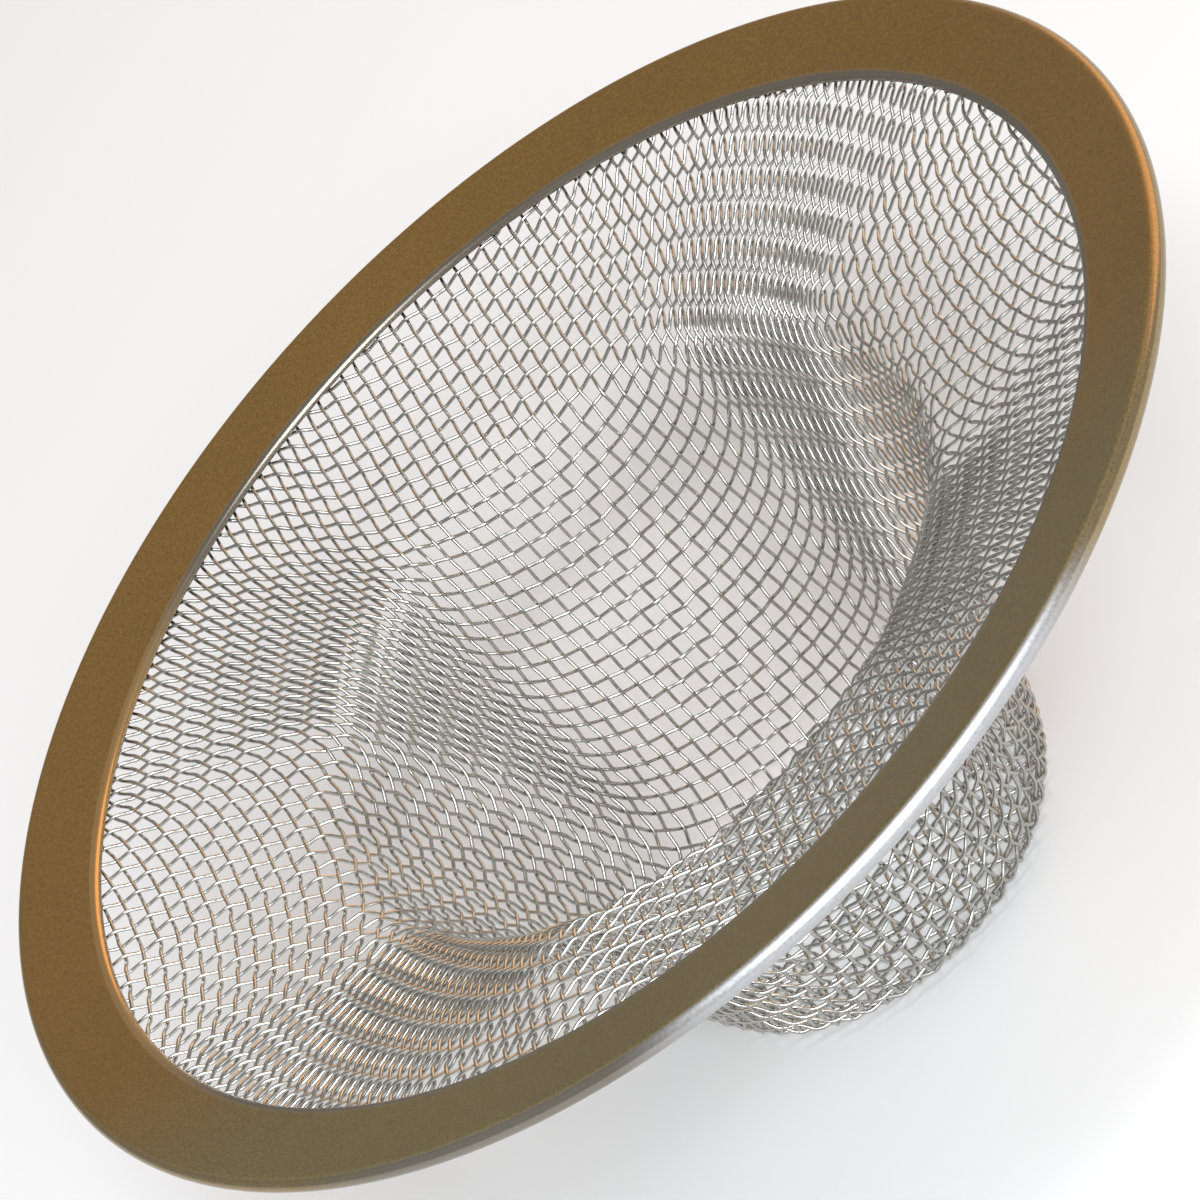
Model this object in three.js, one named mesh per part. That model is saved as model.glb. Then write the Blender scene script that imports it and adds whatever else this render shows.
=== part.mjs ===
// Bathtub drain strainer: a basket of woven steel wire, held by its edge in a folded sheet-metal rim.
// Millimetres, +Z up. The basket stands on the origin and the rim is its highest part.
import * as THREE from "three";

// Rim, one strip of sheet folded round the edge of the wire cloth
const RIM_OUTER_DIAMETER = 70;
const RIM_WIDTH = 4.72;
const RIM_DIP = THREE.MathUtils.degToRad(15);
const RIM_UNDER_SETBACK = 1.35;
const RIM_SHEET = 0.16;
const RIM_LIP_BEND = 0.14;

// Basket, as corners of the cloth's middle surface with a bend at each corner
const DISH_SLOPE = THREE.MathUtils.degToRad(18.7);
const CUP_DEPTH = 21.8;
const CUP_MOUTH_DIAMETER = 36.8;
const CUP_FLOOR_DIAMETER = 22;
const DISH_BEND = 2;
const SHOULDER_BEND = 3.4;
const FLOOR_BEND = 3.2;

// Wire cloth, of which one wire in every few is made, on each side of a middle one.
// The outermost wires stay a share of their spacing inside the rim's opening.
const WIRE_DIAMETER = 0.2;
const WARP_EACH_SIDE = 11;
const WEFT_EACH_SIDE = 9;
const CLOTH_WIRES_PER_WIRE = 4;
const WARP_OUTERMOST_SHARE = 0.9;
const WEFT_OUTERMOST_SHARE = 1.36;
const WEAVE_TURN = THREE.MathUtils.degToRad(-11.5);

// Clearances
const WEAVE_GAP = 0.03;
const CLOTH_CLEARANCE = 0.05;
const CLOTH_EDGE_CLEARANCE = 0.3;

// Satin rim and bright wire
const RIM_COLOUR = 0x8a6c42;
const RIM_ROUGHNESS = 0.45;
const WIRE_COLOUR = 0x9c9a94;
const WIRE_ROUGHNESS = 0.3;

// Fineness of the faceted surfaces.
// A wire gets a point between crossings where it strays further than the limit.
const RIM_FACETS = 72;
const FOLD_STEPS = 6;
const LIP_STEPS = 3;
const WIRE_SIDES = 4;
const STRAY_LIMIT = 0.1;
const PROFILE_STEPS = 400;
const SETTLE_ROUNDS = 4;

// Sizes that follow from the ones above
const rimRadius = RIM_OUTER_DIAMETER / 2;
const openingRadius = rimRadius - RIM_WIDTH;
const clothThickness = 2 * WIRE_DIAMETER + WEAVE_GAP;
const weaveOffset = (WIRE_DIAMETER + WEAVE_GAP) / 2;
const lipDrop = RIM_SHEET + RIM_LIP_BEND;
const rimHeight = lipDrop + clothThickness + 2 * CLOTH_CLEARANCE + RIM_SHEET;
const foldRadius = rimHeight / 2;
const clothRadius = rimRadius - foldRadius - CLOTH_EDGE_CLEARANCE;
const clothOffset = foldRadius - lipDrop - CLOTH_CLEARANCE - clothThickness / 2;
const mouthRadius = CUP_MOUTH_DIAMETER / 2;
const dishRadius = openingRadius + RIM_SHEET;
const floorLevel = clothThickness / 2;
const mouthLevel = floorLevel + CUP_DEPTH;
const dishLevel = mouthLevel + (dishRadius - mouthRadius) * Math.tan(DISH_SLOPE);
const foldCentre = new THREE.Vector2(rimRadius - foldRadius, seatLevel(rimRadius - foldRadius));
foldCentre.y -= clothOffset / Math.cos(RIM_DIP);

// Height of the cloth's middle surface where it lies in the rim
function seatLevel(radius) {
  return dishLevel + (radius - dishRadius) * Math.tan(RIM_DIP);
}

// A line through corners, each rounded to its own bend. Corners are { at: Vector2, bend }.
function bentLine(corners) {
  const path = new THREE.Path();
  path.moveTo(corners[0].at.x, corners[0].at.y);
  for (let k = 1; k < corners.length - 1; k += 1) {
    const { at, bend } = corners[k];
    const inward = new THREE.Vector2().subVectors(corners[k - 1].at, at).normalize();
    const outward = new THREE.Vector2().subVectors(corners[k + 1].at, at).normalize();
    const turn = inward.cross(outward) < 0 ? 1 : -1;
    const halfAngle = Math.acos(inward.dot(outward)) / 2;
    const start = at.clone().addScaledVector(inward, bend / Math.tan(halfAngle));
    const bisector = inward.clone().add(outward).normalize();
    const centre = at.clone().addScaledVector(bisector, bend / Math.sin(halfAngle));
    const startAngle = start.clone().sub(centre).angle();
    const endAngle = startAngle + turn * (Math.PI - 2 * halfAngle);
    path.lineTo(start.x, start.y);
    path.absarc(centre.x, centre.y, bend, startAngle, endAngle, turn < 0);
  }
  const last = corners[corners.length - 1].at;
  path.lineTo(last.x, last.y);
  return path;
}

// The cloth's middle surface as (radius, height), from the axis out to a radius in the rim's fold or past it
function clothProfile(endRadius) {
  return bentLine([
    { at: new THREE.Vector2(0, floorLevel) },
    { at: new THREE.Vector2(CUP_FLOOR_DIAMETER / 2, floorLevel), bend: FLOOR_BEND },
    { at: new THREE.Vector2(mouthRadius, mouthLevel), bend: SHOULDER_BEND },
    { at: new THREE.Vector2(dishRadius, dishLevel), bend: DISH_BEND },
    { at: new THREE.Vector2(endRadius, seatLevel(endRadius)) },
  ]);
}

// The point of the cloth's surface nearest to a point, with the surface's upward normal there
function settle(point, outline) {
  const target = new THREE.Vector2(Math.hypot(point.x, point.y), point.z);
  let nearest = Infinity;
  let foot;
  let run;
  for (let k = 0; k < outline.length - 1; k += 1) {
    const segment = new THREE.Vector2().subVectors(outline[k + 1], outline[k]);
    const along = new THREE.Vector2().subVectors(target, outline[k]).dot(segment) / segment.lengthSq();
    const candidate = outline[k].clone().addScaledVector(segment, THREE.MathUtils.clamp(along, 0, 1));
    const distance = candidate.distanceToSquared(target);
    if (distance < nearest) {
      nearest = distance;
      foot = candidate;
      run = segment;
    }
  }
  const azimuth = Math.atan2(point.y, point.x);
  const at = new THREE.Vector3(foot.x * Math.cos(azimuth), foot.x * Math.sin(azimuth), foot.y);
  const normal = new THREE.Vector3(-run.y * Math.cos(azimuth), -run.y * Math.sin(azimuth), run.x);
  return { at, normal: normal.normalize(), radius: foot.x };
}

function middleOf(first, second) {
  return first.clone().add(second).divideScalar(2);
}

// One crossing, a pitch away from each of the two crossings before it, on the side away from their common one
function nextCrossing(before, beside, corner, pitch, outline) {
  const across = new THREE.Vector3().subVectors(beside.at, before.at);
  const share = (1 + (pitch.warp ** 2 - pitch.weft ** 2) / across.lengthSq()) / 2;
  const base = before.at.clone().addScaledVector(across, share);
  const reach = Math.sqrt(Math.max(pitch.warp ** 2 - base.distanceToSquared(before.at), 0));
  const away = new THREE.Vector3().subVectors(base, corner.at);
  let crossing = settle(base.clone().add(away), outline);
  for (let round = 0; round < SETTLE_ROUNDS; round += 1) {
    const ahead = new THREE.Vector3().crossVectors(crossing.normal, across).normalize();
    const side = ahead.dot(away) < 0 ? -1 : 1;
    crossing = settle(base.clone().addScaledVector(ahead, side * reach), outline);
  }
  return crossing;
}

// The crossings of one quarter of the cloth. Wires keep their pitch, so the cloth shears between its ways.
function quarterNet(profile, pitch, knots) {
  const outline = profile.getSpacedPoints(PROFILE_STEPS);
  const net = [];
  for (let i = 0; i <= knots.warp; i += 1) {
    net.push([]);
    for (let j = 0; j <= knots.weft; j += 1) {
      if (i === 0 || j === 0) {
        const { x, y } = profile.getPoint((i * pitch.warp + j * pitch.weft) / profile.getLength());
        net[i].push(settle(new THREE.Vector3(i > 0 ? x : 0, j > 0 ? x : 0, y), outline));
      } else {
        net[i].push(nextCrossing(net[i - 1][j], net[i][j - 1], net[i - 1][j - 1], pitch, outline));
      }
    }
  }
  return net;
}

// A curve whose even steps fall on its own points, so that each crossing keeps its height
class WirePath extends THREE.CatmullRomCurve3 {
  getPointAt(step, target) {
    return this.getPoint(step, target);
  }

  getTangentAt(step, target) {
    return this.getTangent(step, target);
  }
}

// The points of one wire from its middle out to the cloth's edge, over and under the wires that it crosses.
// It has a point at each crossing, and one halfway between crossings where the cloth bends.
function halfWirePoints(knotAt, firstSide) {
  const halfway = Math.floor(CLOTH_WIRES_PER_WIRE / 2);
  const lifted = (step) => {
    const height = firstSide * weaveOffset * Math.cos(Math.PI * step / CLOTH_WIRES_PER_WIRE);
    return knotAt(step).at.clone().addScaledVector(knotAt(step).normal, height);
  };
  const isBent = (step) => {
    const chordMiddle = middleOf(knotAt(step - halfway).at, knotAt(step + halfway).at);
    return chordMiddle.distanceTo(knotAt(step).at) > STRAY_LIMIT;
  };
  const points = [];
  let step = 1;
  while (knotAt(step).radius < clothRadius) {
    const place = step % CLOTH_WIRES_PER_WIRE;
    if (place === 0 || (place === halfway && isBent(step))) {
      points.push(lifted(step));
    }
    step += 1;
  }
  const inner = knotAt(step - 1).radius;
  const cut = (clothRadius - inner) / (knotAt(step).radius - inner);
  points.push(lifted(step - 1).lerp(lifted(step), cut));
  return { points, middle: lifted(0) };
}

function wirePoints(knotAt, firstSide) {
  const ahead = halfWirePoints(knotAt, firstSide);
  const behind = halfWirePoints((step) => knotAt(-step), firstSide);
  return [...behind.points.reverse(), ahead.middle, ...ahead.points];
}

function steelMesh(name, geometry, color, roughness) {
  const material = new THREE.MeshStandardMaterial({ color, roughness, metalness: 1 });
  const mesh = new THREE.Mesh(geometry, material);
  mesh.name = name;
  return mesh;
}

function wireMesh(name, points) {
  const corners = [];
  for (let k = 0; k < WIRE_SIDES; k += 1) {
    const angle = 2 * Math.PI * k / WIRE_SIDES;
    corners.push(new THREE.Vector2(Math.cos(angle), Math.sin(angle)).multiplyScalar(WIRE_DIAMETER / 2));
  }
  const options = { steps: points.length - 1, extrudePath: new WirePath(points), bevelEnabled: false };
  const geometry = new THREE.ExtrudeGeometry(new THREE.Shape(corners), options);
  return steelMesh(name, geometry, WIRE_COLOUR, WIRE_ROUGHNESS);
}

// The wires of one way, counted from one side to the other.
// The first side is 1 where the middle wire lies over the one that it crosses at its own middle.
function wireSet(way, eachSide, firstSide, knotAt) {
  const set = new THREE.Group();
  for (let wire = -eachSide; wire <= eachSide; wire += 1) {
    const number = String(wire + eachSide + 1).padStart(2, "0");
    const place = wire * CLOTH_WIRES_PER_WIRE;
    const side = wire % 2 === 0 ? firstSide : -firstSide;
    set.add(wireMesh(`${way}_wire_${number}`, wirePoints((step) => knotAt(place, step), side)));
  }
  return set;
}

// Both ways of the woven cloth: warp wires run along Y and weft wires along X before the cloth is turned
function wireCloth() {
  const clothLength = clothProfile(clothRadius).getLength();
  const openLength = clothLength - (clothRadius - openingRadius) / Math.cos(RIM_DIP);
  const pitch = {
    warp: openLength / (WARP_EACH_SIDE + WARP_OUTERMOST_SHARE) / CLOTH_WIRES_PER_WIRE,
    weft: openLength / (WEFT_EACH_SIDE + WEFT_OUTERMOST_SHARE) / CLOTH_WIRES_PER_WIRE,
  };
  const margin = CLOTH_WIRES_PER_WIRE;
  const knots = {
    warp: Math.ceil(clothLength / pitch.warp) + margin,
    weft: Math.ceil(clothLength / pitch.weft) + margin,
  };
  const reach = clothRadius + 2 * margin * Math.max(pitch.warp, pitch.weft);
  const net = quarterNet(clothProfile(reach), pitch, knots);
  const mirrored = (i, j) => {
    const { at, normal, radius } = net[Math.abs(i)][Math.abs(j)];
    const flip = new THREE.Vector3(i < 0 ? -1 : 1, j < 0 ? -1 : 1, 1);
    return { at: at.clone().multiply(flip), normal: normal.clone().multiply(flip), radius };
  };
  const cloth = new THREE.Group();
  cloth.add(wireSet("warp", WARP_EACH_SIDE, 1, (place, step) => mirrored(place, step)));
  cloth.add(wireSet("weft", WEFT_EACH_SIDE, -1, (place, step) => mirrored(step, place)));
  cloth.rotation.z = WEAVE_TURN;
  return cloth;
}

// Points of an arc about a centre, from one angle to another
function arcPoints(centre, radius, from, to, steps) {
  const curve = new THREE.EllipseCurve(centre.x, centre.y, radius, radius, from, to, to < from);
  return curve.getPoints(steps);
}

// The rim's section: top flange with a turned-down lip, round outer fold, and a narrower flange underneath.
// It is drawn level about the fold's centre and then dips towards the opening.
function rimMesh() {
  const quarter = Math.PI / 2;
  const fold = new THREE.Vector2(0, 0);
  const lipHeight = foldRadius - lipDrop;
  const lipReach = foldCentre.x - openingRadius - lipDrop - lipHeight * Math.sin(RIM_DIP);
  const lip = new THREE.Vector2(-lipReach / Math.cos(RIM_DIP), lipHeight);
  const underReach = foldCentre.x - openingRadius - RIM_UNDER_SETBACK + foldRadius * Math.sin(RIM_DIP);
  const under = new THREE.Vector2(-underReach / Math.cos(RIM_DIP), -foldRadius);
  const section = [
    under.clone(),
    ...arcPoints(fold, foldRadius, -quarter, quarter, FOLD_STEPS),
    ...arcPoints(lip, lipDrop, quarter, 2 * quarter, LIP_STEPS),
    ...arcPoints(lip, RIM_LIP_BEND, 2 * quarter, quarter, LIP_STEPS),
    ...arcPoints(fold, foldRadius - RIM_SHEET, quarter, -quarter, FOLD_STEPS),
    new THREE.Vector2(under.x, under.y + RIM_SHEET),
    under.clone(),
  ];
  section.forEach((point) => point.rotateAround(fold, RIM_DIP).add(foldCentre));
  const geometry = new THREE.LatheGeometry(section, RIM_FACETS).rotateX(quarter);
  return steelMesh("rim", geometry, RIM_COLOUR, RIM_ROUGHNESS);
}

const strainer = new THREE.Group();
strainer.add(rimMesh());
strainer.add(wireCloth());

export default strainer;
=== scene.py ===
import math

import bpy
import numpy as np
from mathutils import Matrix, Vector


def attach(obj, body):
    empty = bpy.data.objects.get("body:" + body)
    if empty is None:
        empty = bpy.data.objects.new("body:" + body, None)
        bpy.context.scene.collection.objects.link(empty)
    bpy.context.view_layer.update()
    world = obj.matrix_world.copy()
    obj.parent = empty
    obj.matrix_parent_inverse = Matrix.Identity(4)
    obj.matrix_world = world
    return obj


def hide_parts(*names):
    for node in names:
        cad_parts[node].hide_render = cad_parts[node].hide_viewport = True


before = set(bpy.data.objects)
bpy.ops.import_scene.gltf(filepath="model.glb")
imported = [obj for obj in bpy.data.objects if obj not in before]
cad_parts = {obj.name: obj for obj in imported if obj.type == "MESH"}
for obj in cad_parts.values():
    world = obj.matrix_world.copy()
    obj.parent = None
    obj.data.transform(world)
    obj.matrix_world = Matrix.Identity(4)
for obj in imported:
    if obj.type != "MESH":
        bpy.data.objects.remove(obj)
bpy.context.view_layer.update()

# Sizes are in millimetres up to the mesh, which is in metres
MM = 0.001

# Rim, one strip of sheet folded round the edge of the wire cloth
RIM_RADIUS = 35.0
RIM_WIDTH = 4.72
RIM_DIP = math.radians(15.0)
RIM_UNDER_SETBACK = 1.35
RIM_SHEET = 0.16
RIM_LIP_BEND = 0.14

# Basket, as corners of the cloth's middle surface with a bend at each corner
DISH_SLOPE = math.radians(18.7)
CUP_DEPTH = 21.8
CUP_MOUTH_RADIUS = 18.4
CUP_FLOOR_RADIUS = 11.0
DISH_BEND = 2.0
SHOULDER_BEND = 3.4
FLOOR_BEND = 3.2

# Wire cloth, with every wire. The CAD model has one wire in every few, on each side of a middle one,
# and its outermost wires stay a share of their spacing inside the rim's opening.
# The warp runs along Y and the weft along X before the cloth is turned.
WIRE_DIAMETER = 0.2
NODES_EACH_SIDE = {"warp": 11, "weft": 9}
OUTERMOST_SHARE = {"warp": 0.9, "weft": 1.36}
WIRES_PER_NODE = 4
WEAVE_TURN = math.radians(-11.5)

# Clearances, and how far inside the cloth's edge the middle of its outermost wire stays
WEAVE_GAP = 0.03
CLOTH_CLEARANCE = 0.05
CLOTH_EDGE_CLEARANCE = 0.3
OUTERMOST_INSET = 0.8

# Fineness of the meshes and of the lines that they follow.
# The rim's flats have points a margin away from the bends, which keeps smooth shading flat between them.
RIM_SEGMENTS = 288
FOLD_STEPS = 24
LIP_STEPS = 10
FLAT_MARGIN = 0.12
WIRE_SIDES = 6
SAMPLES_PER_PITCH = 4
BEND_STEPS = 40
PROFILE_STEPS = 600
SETTLE_ROUNDS = 4
SPARE_CROSSINGS = 3

# Camera of the photo: above the rim's plane, close by, with the picture turned
IMAGE_SIZE = 1200.0
SENSOR_MM = 36.0
VIEW_ELEVATION = math.radians(31.55)
VIEW_ROLL = math.radians(47.25)
VIEW_DISTANCE = 200.0
PIXELS_PER_MM = 20.66
RIM_CENTRE_PIXEL = (544.0, 549.0)
CLIP_START_M = 0.01
CLIP_END_M = 100.0

# Colours of the steel, each as the two ends of its tone
BROWN = ((0.212, 0.117, 0.030), (0.190, 0.108, 0.028))
# Painted reflection: a duller brown for the rim's near side
PAINTED_REFLECTION_BROWN = ((0.183, 0.140, 0.060), (0.168, 0.131, 0.057))
THIN_BROWN = ((0.27, 0.20, 0.10), (0.34, 0.26, 0.14))
# Grey of the lip all round, also used as a painted grey reflection on the near side's fold
GREY = ((0.20, 0.17, 0.13), (0.27, 0.24, 0.20))
# Painted reflection: warm light seen in the lip on one side
PAINTED_GOLD_REFLECTION = ((0.44, 0.28, 0.12), (0.52, 0.34, 0.15))
# Painted highlight: white band along the fold on the front side
PAINTED_HIGHLIGHT_TONES = ((0.46, 0.46, 0.47), (0.54, 0.54, 0.55))
WIRE_GREY = ((0.43, 0.42, 0.39), (0.54, 0.53, 0.495))

# Sides of the rim: where a white highlight is painted on its fold, where a greyer reflection is painted on
# its near side, and where a warm reflection is painted on its lip
PAINTED_HIGHLIGHT_SIDE = (0.04, -1.0, 0.0)
PAINTED_REFLECTION_SIDE = (-0.26, -0.97, 0.0)
PAINTED_GOLD_SIDE = (-0.93, 0.37, 0.0)

# Where each painted change towards a side begins and is complete, in rim radii along that side
PAINTED_HIGHLIGHT_SPAN = (0.89, 0.97)
PAINTED_REFLECTION_SPAN = (0.3, 0.7)
PAINTED_GREY_FOLD_SPAN = (0.75, 0.9)
PAINTED_GOLD_SPAN = (0.62, 0.8)

# Where the lip's colour begins and is complete, in lip drops out from the opening,
# and where the fold's does, in fold radii out from the fold's centre
LIP_SPAN = (1.8, 0.5)
FOLD_SPAN = (0.1, 0.7)

# Noise in the steel, as its scale per metre and its detail
CLOUDS = (90.0, 3.0)
PATCHES = (60.0, 4.0)
GRAIN = (7000.0, 2.0)
WIRE_TONE = (400.0, 3.0)
WIRE_GRAIN = (3000.0, 2.0)

# Stretch of a factor over which a number runs, and over which a tone does
NUMBER_STRETCH = (0.25, 0.75)
TONE_STRETCH = (0.3, 0.7)

# Finish of the steel, each as the two ends of its run
GRAIN_LIGHTNESS = (0.72, 1.28)
RIM_METALLIC = (0.4, 0.75)
RIM_ROUGHNESS = (0.34, 0.44)
EDGE_SMOOTHING = (0.0, 0.16)
WIRE_ROUGHNESS = (0.16, 0.28)

# Relief of the rim's grain
GRAIN_DEPTH_M = 0.00001
GRAIN_STRENGTH = 0.25

# Floor, and the share of plain white in what the camera and reflections see of it
FLOOR_REACH_M = 4.0
FLOOR_COLOUR = (0.88, 0.88, 0.88, 1)
FLOOR_ROUGHNESS = 0.9
FLOOR_SPECULAR = 0.1
FLOOR_WHITENESS = 0.14

# World, as the light that it gives and as what the camera and reflections see of it
FILL_COLOUR = (0.82, 0.93, 1, 1)
FILL_STRENGTH = 0.13
SURROUND_COLOUR = (1, 1, 1, 1)
SURROUND_STRENGTH = 0.35

# Colours of the lamps
COOL_WHITE = (0.92, 0.96, 1.0)
WARM = (1, 0.5, 0.15)

# Sizes that follow from the ones above
opening_radius = RIM_RADIUS - RIM_WIDTH
cloth_thickness = 2 * WIRE_DIAMETER + WEAVE_GAP
weave_offset = (WIRE_DIAMETER + WEAVE_GAP) / 2
lip_drop = RIM_SHEET + RIM_LIP_BEND
rim_height = lip_drop + cloth_thickness + 2 * CLOTH_CLEARANCE + RIM_SHEET
fold_radius = rim_height / 2
cloth_radius = RIM_RADIUS - fold_radius - CLOTH_EDGE_CLEARANCE
cloth_offset = fold_radius - lip_drop - CLOTH_CLEARANCE - cloth_thickness / 2
dish_radius = opening_radius + RIM_SHEET
floor_level = cloth_thickness / 2
mouth_level = floor_level + CUP_DEPTH
dish_level = mouth_level + (dish_radius - CUP_MOUTH_RADIUS) * math.tan(DISH_SLOPE)
fold_from_axis = RIM_RADIUS - fold_radius
cloth_level_at_fold = dish_level + (fold_from_axis - dish_radius) * math.tan(RIM_DIP)
fold_level = cloth_level_at_fold - cloth_offset / math.cos(RIM_DIP)
rim_top_level = fold_level + fold_radius


def arc(centre, radius, start, end, steps):
    """Points of an arc about a centre, from one angle to another."""
    angles = np.linspace(start, end, steps + 1)
    return np.stack([centre[0] + radius * np.cos(angles), centre[1] + radius * np.sin(angles)], axis=1)


def bent_line(corners, bends):
    """Points of a line through corners, each inner corner rounded to its own bend."""
    corners = np.array(corners)
    parts = [corners[:1]]
    for before, at, after, bend in zip(corners, corners[1:], corners[2:], bends):
        inward = (before - at) / np.linalg.norm(before - at)
        outward = (after - at) / np.linalg.norm(after - at)
        half = math.acos(np.dot(inward, outward)) / 2
        bisector = (inward + outward) / np.linalg.norm(inward + outward)
        centre = at + bisector * bend / math.sin(half)
        first = at + inward * bend / math.tan(half) - centre
        start = math.atan2(first[1], first[0])
        turn = 1 if inward[0] * outward[1] - inward[1] * outward[0] < 0 else -1
        parts.append(arc(centre, bend, start, start + turn * (math.pi - 2 * half), BEND_STEPS))
    parts.append(corners[-1:])
    return np.concatenate(parts)


def evenly(line, count):
    """The same line with points at even steps, and its length."""
    lengths = np.concatenate([[0], np.cumsum(np.linalg.norm(np.diff(line, axis=0), axis=1))])
    steps = np.linspace(0, lengths[-1], count + 1)
    return np.stack([np.interp(steps, lengths, line[:, k]) for k in range(2)], axis=1), lengths[-1]


def cloth_profile(end_radius):
    """The cloth's middle surface as (radius, height), and its length from the axis out.

    It ends at a radius in the rim's fold, or past it.
    """
    corners = [
        (0.0, floor_level),
        (CUP_FLOOR_RADIUS, floor_level),
        (CUP_MOUTH_RADIUS, mouth_level),
        (dish_radius, dish_level),
        (end_radius, dish_level + (end_radius - dish_radius) * math.tan(RIM_DIP)),
    ]
    return evenly(bent_line(corners, [FLOOR_BEND, SHOULDER_BEND, DISH_BEND]), PROFILE_STEPS)


def settle(point, outline):
    """The point of the cloth's surface nearest to a point, and the surface's upward normal there."""
    target = np.array([math.hypot(point[0], point[1]), point[2]])
    runs = np.diff(outline, axis=0)
    share = np.clip(((target - outline[:-1]) * runs).sum(axis=1) / (runs ** 2).sum(axis=1), 0, 1)
    feet = outline[:-1] + share[:, None] * runs
    nearest = np.argmin(((target - feet) ** 2).sum(axis=1))
    radius, height = feet[nearest]
    run, rise = runs[nearest]
    azimuth = math.atan2(point[1], point[0])
    cosine, sine = math.cos(azimuth), math.sin(azimuth)
    normal = np.array([-rise * cosine, -rise * sine, run])
    return np.array([radius * cosine, radius * sine, height]), normal / np.linalg.norm(normal)


def next_crossing(before, beside, corner, pitch, outline):
    """One crossing, a pitch away from each of the two before it, on the side away from their common one."""
    across = beside - before
    share = (1 + (pitch["warp"] ** 2 - pitch["weft"] ** 2) / np.dot(across, across)) / 2
    base = before + across * share
    reach = math.sqrt(max(pitch["warp"] ** 2 - np.dot(base - before, base - before), 0))
    away = base - corner
    at, normal = settle(base + away, outline)
    for _ in range(SETTLE_ROUNDS):
        ahead = np.cross(normal, across)
        ahead *= (1 if np.dot(ahead, away) > 0 else -1) / np.linalg.norm(ahead)
        at, normal = settle(base + ahead * reach, outline)
    return at, normal


def quarter_net():
    """The crossings of one quarter of the cloth, as positions and normals by warp and weft wire."""
    _, cloth_length = cloth_profile(cloth_radius)
    open_length = cloth_length - (cloth_radius - opening_radius) / math.cos(RIM_DIP)
    pitch = {
        way: open_length / (each_side + OUTERMOST_SHARE[way]) / WIRES_PER_NODE
        for way, each_side in NODES_EACH_SIDE.items()
    }
    warps = math.ceil(cloth_length / pitch["warp"]) + SPARE_CROSSINGS
    wefts = math.ceil(cloth_length / pitch["weft"]) + SPARE_CROSSINGS
    outline, length = cloth_profile(cloth_radius + 2 * WIRES_PER_NODE * max(pitch.values()))
    steps = np.linspace(0, length, len(outline))
    at = np.zeros((warps, wefts, 3))
    normal = np.zeros((warps, wefts, 3))
    for warp in range(warps):
        for weft in range(wefts):
            if warp == 0 or weft == 0:
                along_profile = warp * pitch["warp"] + weft * pitch["weft"]
                radius = np.interp(along_profile, steps, outline[:, 0])
                height = np.interp(along_profile, steps, outline[:, 1])
                on_axis = (radius if warp > 0 else 0, radius if weft > 0 else 0, height)
                at[warp, weft], normal[warp, weft] = settle(on_axis, outline)
            else:
                before, beside, corner = at[warp - 1, weft], at[warp, weft - 1], at[warp - 1, weft - 1]
                at[warp, weft], normal[warp, weft] = next_crossing(before, beside, corner, pitch, outline)
    return at, normal


def wire_line(wire, way, net_at, net_normal):
    """Points of one wire and the cloth's normals there, over and under the wires that it crosses.

    The wire is a smooth curve through its crossings, cut where it first leaves the cloth on each side.
    """
    crossings = net_at.shape[1 if way == "warp" else 0]
    knots = np.arange(-crossings + 1, crossings)
    across = np.full_like(knots, wire)
    warp, weft = (across, knots) if way == "warp" else (knots, across)
    flip = np.stack([np.where(warp < 0, -1, 1), np.where(weft < 0, -1, 1), np.ones_like(warp)], axis=1)
    at = net_at[abs(warp), abs(weft)] * flip
    normal = net_normal[abs(warp), abs(weft)] * flip
    fine = np.arange(knots[1], knots[-2], 1 / SAMPLES_PER_PITCH)
    knot = np.floor(fine).astype(int) - knots[0]
    share = (fine - np.floor(fine))[:, None]
    before, start, end, after = (at[knot + step] for step in (-1, 0, 1, 2))
    centre = 0.5 * (
        2 * start
        + (end - before) * share
        + (2 * before - 5 * start + 4 * end - after) * share ** 2
        + (3 * start - before - 3 * end + after) * share ** 3
    )
    up = normal[knot] * (1 - share) + normal[knot + 1] * share
    up /= np.linalg.norm(up, axis=1)[:, None]
    side = (1 if wire % 2 == 0 else -1) * (1 if way == "warp" else -1)
    centre = centre + up * (side * weave_offset * np.cos(math.pi * fine))[:, None]
    middle = np.argmin(abs(fine))
    outside = np.flatnonzero(np.hypot(centre[:, 0], centre[:, 1]) >= cloth_radius)
    inside = slice(outside[outside < middle].max() + 1, outside[outside > middle].min())
    return centre[inside], up[inside]


def tube(centre, up, first_vertex):
    """Vertices and faces of a closed round tube along a line."""
    tangent = np.gradient(centre, axis=0)
    tangent /= np.linalg.norm(tangent, axis=1)[:, None]
    side = np.cross(tangent, up)
    side /= np.linalg.norm(side, axis=1)[:, None]
    top = np.cross(side, tangent)
    angles = np.arange(WIRE_SIDES) * 2 * math.pi / WIRE_SIDES
    ring = np.cos(angles)[None, :, None] * top[:, None] + np.sin(angles)[None, :, None] * side[:, None]
    vertices = (centre[:, None] + ring * WIRE_DIAMETER / 2).reshape(-1, 3)
    rows = first_vertex + np.arange(len(centre))[:, None] * WIRE_SIDES
    here = rows + np.arange(WIRE_SIDES)
    there = rows + (np.arange(WIRE_SIDES) + 1) % WIRE_SIDES
    quads = np.stack([here[:-1], here[1:], there[1:], there[:-1]], axis=2).reshape(-1, 4)
    return vertices, quads.tolist() + [here[0].tolist(), here[-1][::-1].tolist()]


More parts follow.
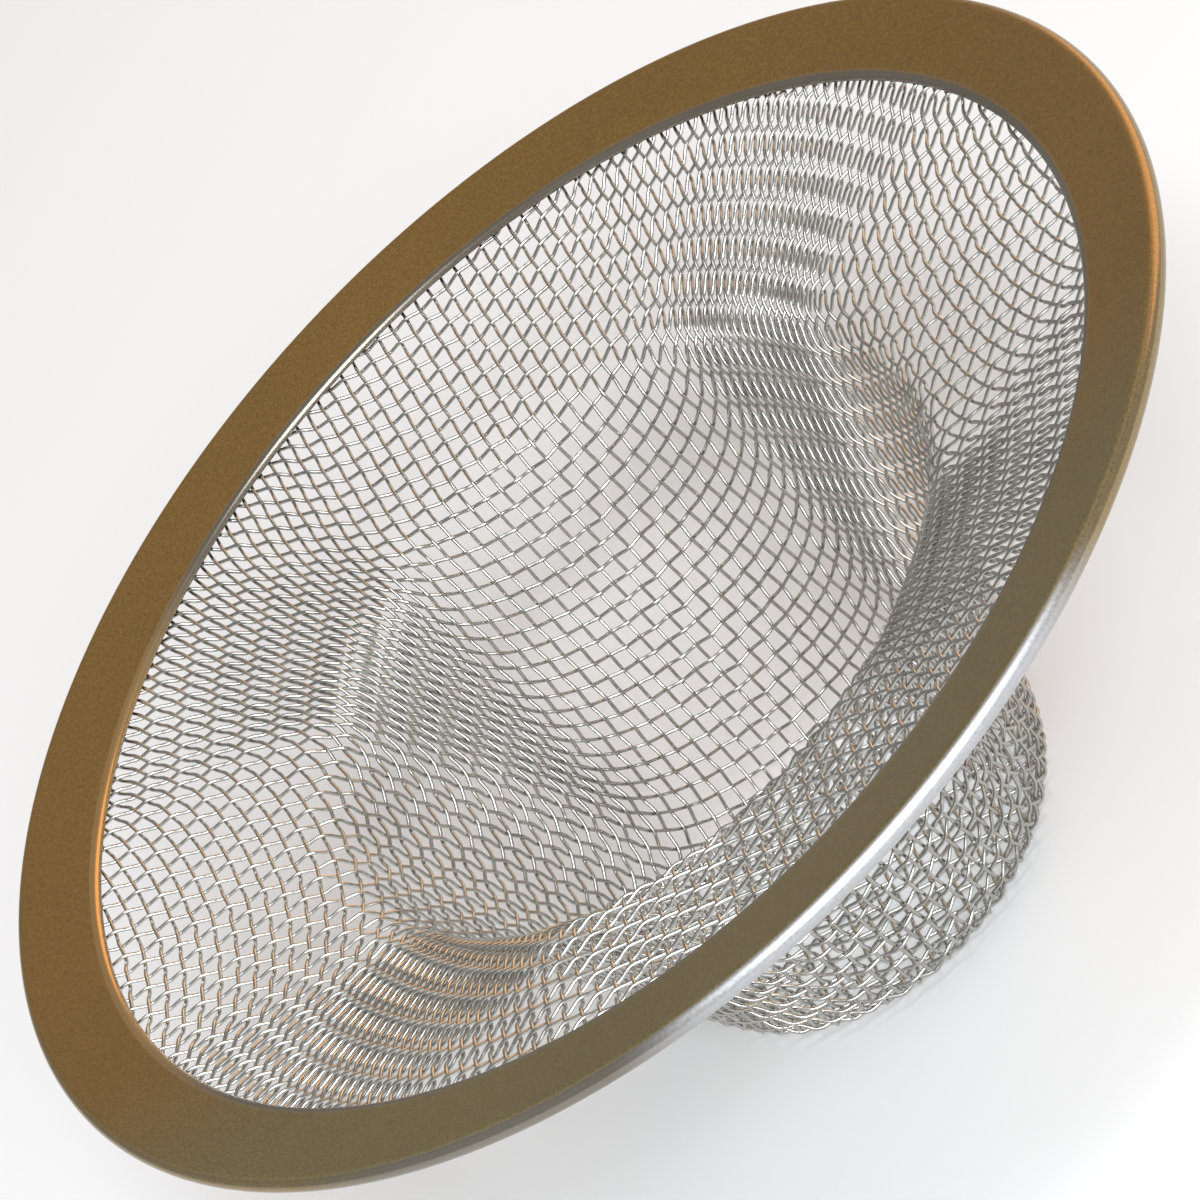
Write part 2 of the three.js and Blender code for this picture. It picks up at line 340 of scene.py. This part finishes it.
def make_piece(name, vertices, faces, nodes, material):
    """A smooth mesh piece that stands for CAD nodes."""
    mesh = bpy.data.meshes.new(name)
    mesh.from_pydata((np.asarray(vertices) * MM).tolist(), [], faces)
    mesh.polygons.foreach_set("use_smooth", [True] * len(mesh.polygons))
    mesh.materials.append(material)
    mesh.update()
    piece = bpy.data.objects.new(name, mesh)
    bpy.context.scene.collection.objects.link(piece)
    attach(piece, "root")
    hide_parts(*nodes)
    return piece


def new_material(name):
    """A material with its nodes, its links and its main shader."""
    material = bpy.data.materials.new(name)
    material.use_nodes = True
    tree = material.node_tree
    return material, tree.nodes, tree.links, tree.nodes["Principled BSDF"]


def noise(nodes, links, coordinates, scale, detail):
    node = nodes.new("ShaderNodeTexNoise")
    node.inputs["Scale"].default_value = scale
    node.inputs["Detail"].default_value = detail
    links.new(coordinates, node.inputs["Vector"])
    return node.outputs["Fac"]


def spread(nodes, links, factor, low, high):
    """A number that runs from low to high over the middle stretch of a factor."""
    node = nodes.new("ShaderNodeMapRange")
    node.inputs["From Min"].default_value = NUMBER_STRETCH[0]
    node.inputs["From Max"].default_value = NUMBER_STRETCH[1]
    node.inputs["To Min"].default_value = low
    node.inputs["To Max"].default_value = high
    links.new(factor, node.inputs["Value"])
    return node.outputs["Result"]


def two_tone(nodes, links, factor, tones):
    """A colour that runs from one tone to another over the middle stretch of a factor."""
    node = nodes.new("ShaderNodeValToRGB")
    for element, position, tone in zip(node.color_ramp.elements, TONE_STRETCH, tones):
        element.position = position
        element.color = (*tone, 1)
    links.new(factor, node.inputs["Fac"])
    return node.outputs["Color"]


def bump(nodes, links, height, depth, strength):
    node = nodes.new("ShaderNodeBump")
    node.inputs["Distance"].default_value = depth
    node.inputs["Strength"].default_value = strength
    links.new(height, node.inputs["Height"])
    return node.outputs["Normal"]


def step_between(nodes, links, value, start, end):
    """A smooth step of a value, 0 at the start and 1 at the end."""
    node = nodes.new("ShaderNodeMapRange")
    node.interpolation_type = "SMOOTHSTEP"
    node.inputs["From Min"].default_value = start
    node.inputs["From Max"].default_value = end
    links.new(value, node.inputs["Value"])
    return node.outputs["Result"]


def combine(nodes, links, operation, first, second):
    node = nodes.new("ShaderNodeMath")
    node.operation = operation
    links.new(first, node.inputs[0])
    links.new(second, node.inputs[1])
    return node.outputs["Value"]


def blend(nodes, links, factor, first, second):
    node = nodes.new("ShaderNodeMix")
    node.data_type = "RGBA"
    links.new(factor, node.inputs["Factor"])
    links.new(first, node.inputs["A"])
    links.new(second, node.inputs["B"])
    return node.outputs["Result"]


def between_radii(nodes, links, place, start, end):
    """A smooth step of the distance from the basket's axis."""
    flat = nodes.new("ShaderNodeVectorMath")
    flat.operation = "MULTIPLY"
    flat.inputs[1].default_value = (1, 1, 0)
    links.new(place, flat.inputs[0])
    length = nodes.new("ShaderNodeVectorMath")
    length.operation = "LENGTH"
    links.new(flat.outputs["Vector"], length.inputs[0])
    return step_between(nodes, links, length.outputs["Value"], start * MM, end * MM)


def towards_side(nodes, links, place, side, span):
    """A smooth step towards one side of the rim, over a span in rim radii."""
    node = nodes.new("ShaderNodeVectorMath")
    node.operation = "DOT_PRODUCT"
    node.inputs[1].default_value = side
    links.new(place, node.inputs[0])
    start, end = (share * RIM_RADIUS * MM for share in span)
    return step_between(nodes, links, node.outputs["Value"], start, end)


def speckled(nodes, links, colour, grain):
    """A colour that is a little lighter and darker with the grain."""
    node = nodes.new("ShaderNodeVectorMath")
    node.operation = "SCALE"
    links.new(colour, node.inputs[0])
    links.new(spread(nodes, links, grain, *GRAIN_LIGHTNESS), node.inputs["Scale"])
    return node.outputs["Vector"]


def rim_steel():
    """Satin sheet with a brown tint, fine grain and cloudy tone, and a painted reflection that makes one
    side's brown duller.

    The tint is thin on the fold, which has a painted grey reflection on the near side and a painted white
    highlight on its front stretch.
    The lip is grey, with a painted warm reflection on one side.
    """
    material, nodes, links, shader = new_material("rim_steel")
    place = nodes.new("ShaderNodeTexCoord").outputs["Object"]
    clouds = noise(nodes, links, place, *CLOUDS)
    grain = noise(nodes, links, place, *GRAIN)
    patches = noise(nodes, links, place, *PATCHES)

    lip_start, lip_end = (opening_radius + lip_drop * share for share in LIP_SPAN)
    fold_start, fold_end = (fold_from_axis + fold_radius * share for share in FOLD_SPAN)
    lip = between_radii(nodes, links, place, lip_start, lip_end)
    fold = between_radii(nodes, links, place, fold_start, fold_end)
    edges = combine(nodes, links, "MAXIMUM", fold, lip)
    # Painted reflection: duller near side of the flats
    painted_reflection_flat = towards_side(nodes, links, place, PAINTED_REFLECTION_SIDE, PAINTED_REFLECTION_SPAN)
    # Painted reflection: grey fold on the near side
    painted_grey_fold = towards_side(nodes, links, place, PAINTED_REFLECTION_SIDE, PAINTED_GREY_FOLD_SPAN)
    # Painted reflection: warm lip on one side
    painted_gold_lip = towards_side(nodes, links, place, PAINTED_GOLD_SIDE, PAINTED_GOLD_SPAN)
    # Painted highlight on the fold's front stretch
    towards_painted_highlight = towards_side(nodes, links, place, PAINTED_HIGHLIGHT_SIDE, PAINTED_HIGHLIGHT_SPAN)
    painted_highlight = combine(nodes, links, "MULTIPLY", fold, towards_painted_highlight)

    warm = two_tone(nodes, links, clouds, BROWN)
    # Painted reflection: the near side's duller brown
    painted_reflection_brown = two_tone(nodes, links, clouds, PAINTED_REFLECTION_BROWN)
    thin = two_tone(nodes, links, grain, THIN_BROWN)
    # Grey for the lip, and for the painted reflection on the fold
    grey = two_tone(nodes, links, patches, GREY)
    # Painted reflection tone for the lip
    painted_gold_colour = two_tone(nodes, links, patches, PAINTED_GOLD_REFLECTION)
    # Painted highlight tone
    painted_highlight_colour = two_tone(nodes, links, grain, PAINTED_HIGHLIGHT_TONES)
    # Flat brown, with the painted reflection on its near side
    flat = speckled(nodes, links, blend(nodes, links, painted_reflection_flat, warm, painted_reflection_brown), grain)
    # Fold with its thin tint, grey where the reflection is painted
    folded = blend(nodes, links, fold, flat, blend(nodes, links, painted_grey_fold, thin, grey))
    # Lip grey, with the painted warm reflection on one side
    tinted = blend(nodes, links, lip, folded, blend(nodes, links, painted_gold_lip, grey, painted_gold_colour))
    # The painted highlight is laid over the rest
    links.new(blend(nodes, links, painted_highlight, tinted, painted_highlight_colour), shader.inputs["Base Color"])

    links.new(spread(nodes, links, edges, *RIM_METALLIC), shader.inputs["Metallic"])
    satin = spread(nodes, links, grain, *RIM_ROUGHNESS)
    # Lip and fold are smoother, except the stretch with the painted highlight
    smoother = spread(nodes, links, combine(nodes, links, "SUBTRACT", edges, painted_highlight), *EDGE_SMOOTHING)
    links.new(combine(nodes, links, "SUBTRACT", satin, smoother), shader.inputs["Roughness"])
    links.new(bump(nodes, links, grain, GRAIN_DEPTH_M, GRAIN_STRENGTH), shader.inputs["Normal"])
    return material


def wire_steel():
    """Bright drawn wire, a little uneven in tone along its length."""
    material, nodes, links, shader = new_material("wire_steel")
    place = nodes.new("ShaderNodeTexCoord").outputs["Object"]
    tone = noise(nodes, links, place, *WIRE_TONE)
    grain = noise(nodes, links, place, *WIRE_GRAIN)
    links.new(two_tone(nodes, links, tone, WIRE_GREY), shader.inputs["Base Color"])
    shader.inputs["Metallic"].default_value = 1.0
    links.new(spread(nodes, links, grain, *WIRE_ROUGHNESS), shader.inputs["Roughness"])
    return material


def make_rim(material):
    """Top flange with a turned-down lip, round outer fold, and a narrower flange underneath.

    Its section is drawn level about the fold's centre and then dips towards the opening.
    """
    quarter = math.pi / 2
    dip_sin, dip_cos = math.sin(RIM_DIP), math.cos(RIM_DIP)
    lip_height = fold_radius - lip_drop
    lip = ((opening_radius + lip_drop + lip_height * dip_sin - fold_from_axis) / dip_cos, lip_height)
    under = (opening_radius + RIM_UNDER_SETBACK - fold_radius * dip_sin - fold_from_axis) / dip_cos
    level = np.concatenate([
        [(under, -fold_radius), (under + FLAT_MARGIN, -fold_radius), (-FLAT_MARGIN, -fold_radius)],
        arc((0, 0), fold_radius, -quarter, quarter, FOLD_STEPS),
        [(-FLAT_MARGIN, fold_radius), (lip[0] + FLAT_MARGIN, fold_radius)],
        arc(lip, lip_drop, quarter, 2 * quarter, LIP_STEPS),
        arc(lip, RIM_LIP_BEND, 2 * quarter, quarter, LIP_STEPS),
        arc((0, 0), fold_radius - RIM_SHEET, quarter, -quarter, FOLD_STEPS),
        [(under, RIM_SHEET - fold_radius)],
    ])
    section = np.stack([
        fold_from_axis + level[:, 0] * dip_cos - level[:, 1] * dip_sin,
        fold_level + level[:, 0] * dip_sin + level[:, 1] * dip_cos,
    ], axis=1)
    turns = np.arange(RIM_SEGMENTS) * 2 * math.pi / RIM_SEGMENTS
    vertices = np.stack([
        section[None, :, 0] * np.cos(turns)[:, None],
        section[None, :, 0] * np.sin(turns)[:, None],
        np.repeat(section[None, :, 1], RIM_SEGMENTS, axis=0),
    ], axis=2).reshape(-1, 3)
    count = len(section)
    faces = []
    for turn in range(RIM_SEGMENTS):
        here, there = turn * count, (turn + 1) % RIM_SEGMENTS * count
        for point in range(count):
            after = (point + 1) % count
            faces.append((here + point, there + point, there + after, here + after))
    return make_piece("folded_rim", vertices, faces, ["rim"], material)


def make_cloth(material):
    """Every wire of the cloth, in pieces of a few neighbours, each piece for the CAD wire among them."""
    net_at, net_normal = quarter_net()
    turn = np.array(Matrix.Rotation(WEAVE_TURN, 3, "Z"))
    for way, each_side in NODES_EACH_SIDE.items():
        middles = net_at[:, 0] if way == "warp" else net_at[0]
        last = np.count_nonzero(np.hypot(middles[:, 0], middles[:, 1]) < cloth_radius - OUTERMOST_INSET) - 1
        for group in range(-each_side, each_side + 1):
            vertices, faces, count = [], [], 0
            first = group * WIRES_PER_NODE - WIRES_PER_NODE // 2
            start = -last if group == -each_side else first
            end = last + 1 if group == each_side else first + WIRES_PER_NODE
            for wire in range(start, end):
                centre, up = wire_line(wire, way, net_at, net_normal)
                tube_vertices, tube_faces = tube(centre @ turn.T, up @ turn.T, count)
                vertices.append(tube_vertices)
                faces.extend(tube_faces)
                count += len(tube_vertices)
            number = f"{group + each_side + 1:02d}"
            name, node = f"{way}_wires_{number}", f"{way}_wire_{number}"
            make_piece(name, np.concatenate(vertices), faces, [node], material)


def make_camera():
    """A camera that looks along +Y and down at the rim's top, with its picture turned and shifted."""
    right = Vector((1, 0, 0))
    back = Vector((0, -math.cos(VIEW_ELEVATION), math.sin(VIEW_ELEVATION)))
    up = back.cross(right)
    picture_right = right * math.cos(VIEW_ROLL) - up * math.sin(VIEW_ROLL)
    picture_up = right * math.sin(VIEW_ROLL) + up * math.cos(VIEW_ROLL)
    eye = Vector((0, 0, rim_top_level)) + back * VIEW_DISTANCE
    data = bpy.data.cameras.new("camera")
    data.sensor_width = SENSOR_MM
    data.lens = PIXELS_PER_MM * VIEW_DISTANCE / IMAGE_SIZE * SENSOR_MM
    data.shift_x = 0.5 - RIM_CENTRE_PIXEL[0] / IMAGE_SIZE
    data.shift_y = RIM_CENTRE_PIXEL[1] / IMAGE_SIZE - 0.5
    data.clip_start = CLIP_START_M
    data.clip_end = CLIP_END_M
    camera = bpy.data.objects.new("camera", data)
    bpy.context.scene.collection.objects.link(camera)
    facing = Matrix((picture_right, picture_up, back)).transposed().to_4x4()
    camera.matrix_world = Matrix.Translation(eye * MM) @ facing
    bpy.context.scene.camera = camera


def make_lamp(name, azimuth, elevation, distance, width, height, power, colour):
    """A soft flat lamp that faces the object, in degrees, metres and watts.

    Azimuth 0 is on the camera's side and 90 at the object's right.
    """
    turn, rise = math.radians(azimuth), math.radians(elevation)
    towards = Vector((math.sin(turn) * math.cos(rise), -math.cos(turn) * math.cos(rise), math.sin(rise)))
    data = bpy.data.lights.new(name, "AREA")
    data.shape = "RECTANGLE"
    data.size = width
    data.size_y = height
    data.energy = power
    data.color = colour
    lamp = bpy.data.objects.new(name, data)
    bpy.context.scene.collection.objects.link(lamp)
    lamp.location = towards * distance
    lamp.rotation_mode = "QUATERNION"
    lamp.rotation_quaternion = towards.to_track_quat("Z", "Y")


def mix_shaders(nodes, links, first, second):
    node = nodes.new("ShaderNodeMixShader")
    links.new(first, node.inputs[1])
    links.new(second, node.inputs[2])
    return node


def where_seen(nodes, links, lighting, seen):
    """One shader for the light that it gives, and another for what the camera and reflections see of it."""
    rays = nodes.new("ShaderNodeLightPath")
    mix = mix_shaders(nodes, links, lighting, seen)
    direct = combine(nodes, links, "MAXIMUM", rays.outputs["Is Camera Ray"], rays.outputs["Is Glossy Ray"])
    looked_at = combine(nodes, links, "MAXIMUM", direct, rays.outputs["Is Transmission Ray"])
    links.new(looked_at, mix.inputs["Fac"])
    return mix.outputs["Shader"]


def make_floor():
    """A plain pale floor, which looks a little whiter than its light makes it."""
    material, nodes, links, shader = new_material("floor")
    shader.inputs["Base Color"].default_value = FLOOR_COLOUR
    shader.inputs["Roughness"].default_value = FLOOR_ROUGHNESS
    shader.inputs["Specular IOR Level"].default_value = FLOOR_SPECULAR
    white = nodes.new("ShaderNodeEmission").outputs["Emission"]
    whitened = mix_shaders(nodes, links, shader.outputs["BSDF"], white)
    whitened.inputs["Fac"].default_value = FLOOR_WHITENESS
    shown = where_seen(nodes, links, shader.outputs["BSDF"], whitened.outputs["Shader"])
    links.new(shown, nodes["Material Output"].inputs["Surface"])
    corners = [(-1, -1, 0), (1, -1, 0), (1, 1, 0), (-1, 1, 0)]
    mesh = bpy.data.meshes.new("floor")
    mesh.from_pydata([Vector(corner) * FLOOR_REACH_M for corner in corners], [], [(0, 1, 2, 3)])
    mesh.materials.append(material)
    floor = bpy.data.objects.new("floor", mesh)
    bpy.context.scene.collection.objects.link(floor)


def make_world():
    """A weak fill light from all around, which the camera and reflections see as a plain grey."""
    world = bpy.data.worlds.new("studio")
    world.use_nodes = True
    nodes, links = world.node_tree.nodes, world.node_tree.links
    fill = nodes["Background"]
    fill.inputs["Color"].default_value = FILL_COLOUR
    fill.inputs["Strength"].default_value = FILL_STRENGTH
    surround = nodes.new("ShaderNodeBackground")
    surround.inputs["Color"].default_value = SURROUND_COLOUR
    surround.inputs["Strength"].default_value = SURROUND_STRENGTH
    shown = where_seen(nodes, links, fill.outputs["Background"], surround.outputs["Background"])
    links.new(shown, nodes["World Output"].inputs["Surface"])
    bpy.context.scene.world = world


def make_lamps():
    """Two cool lamps above and in front of the object, and a weak warm one behind its right side."""
    make_lamp(
        "overhead", azimuth=10, elevation=62, distance=1.1,
        width=0.6, height=0.6, power=8.0, colour=COOL_WHITE,
    )
    make_lamp(
        "key", azimuth=4, elevation=35, distance=1.1,
        width=0.4, height=0.4, power=10.0, colour=COOL_WHITE,
    )
    make_lamp(
        "warm", azimuth=122, elevation=24, distance=0.6,
        width=0.5, height=0.4, power=1.3, colour=WARM,
    )


make_camera()
make_floor()
make_world()
make_lamps()
bpy.context.scene.view_settings.view_transform = "Standard"
make_rim(rim_steel())
make_cloth(wire_steel())
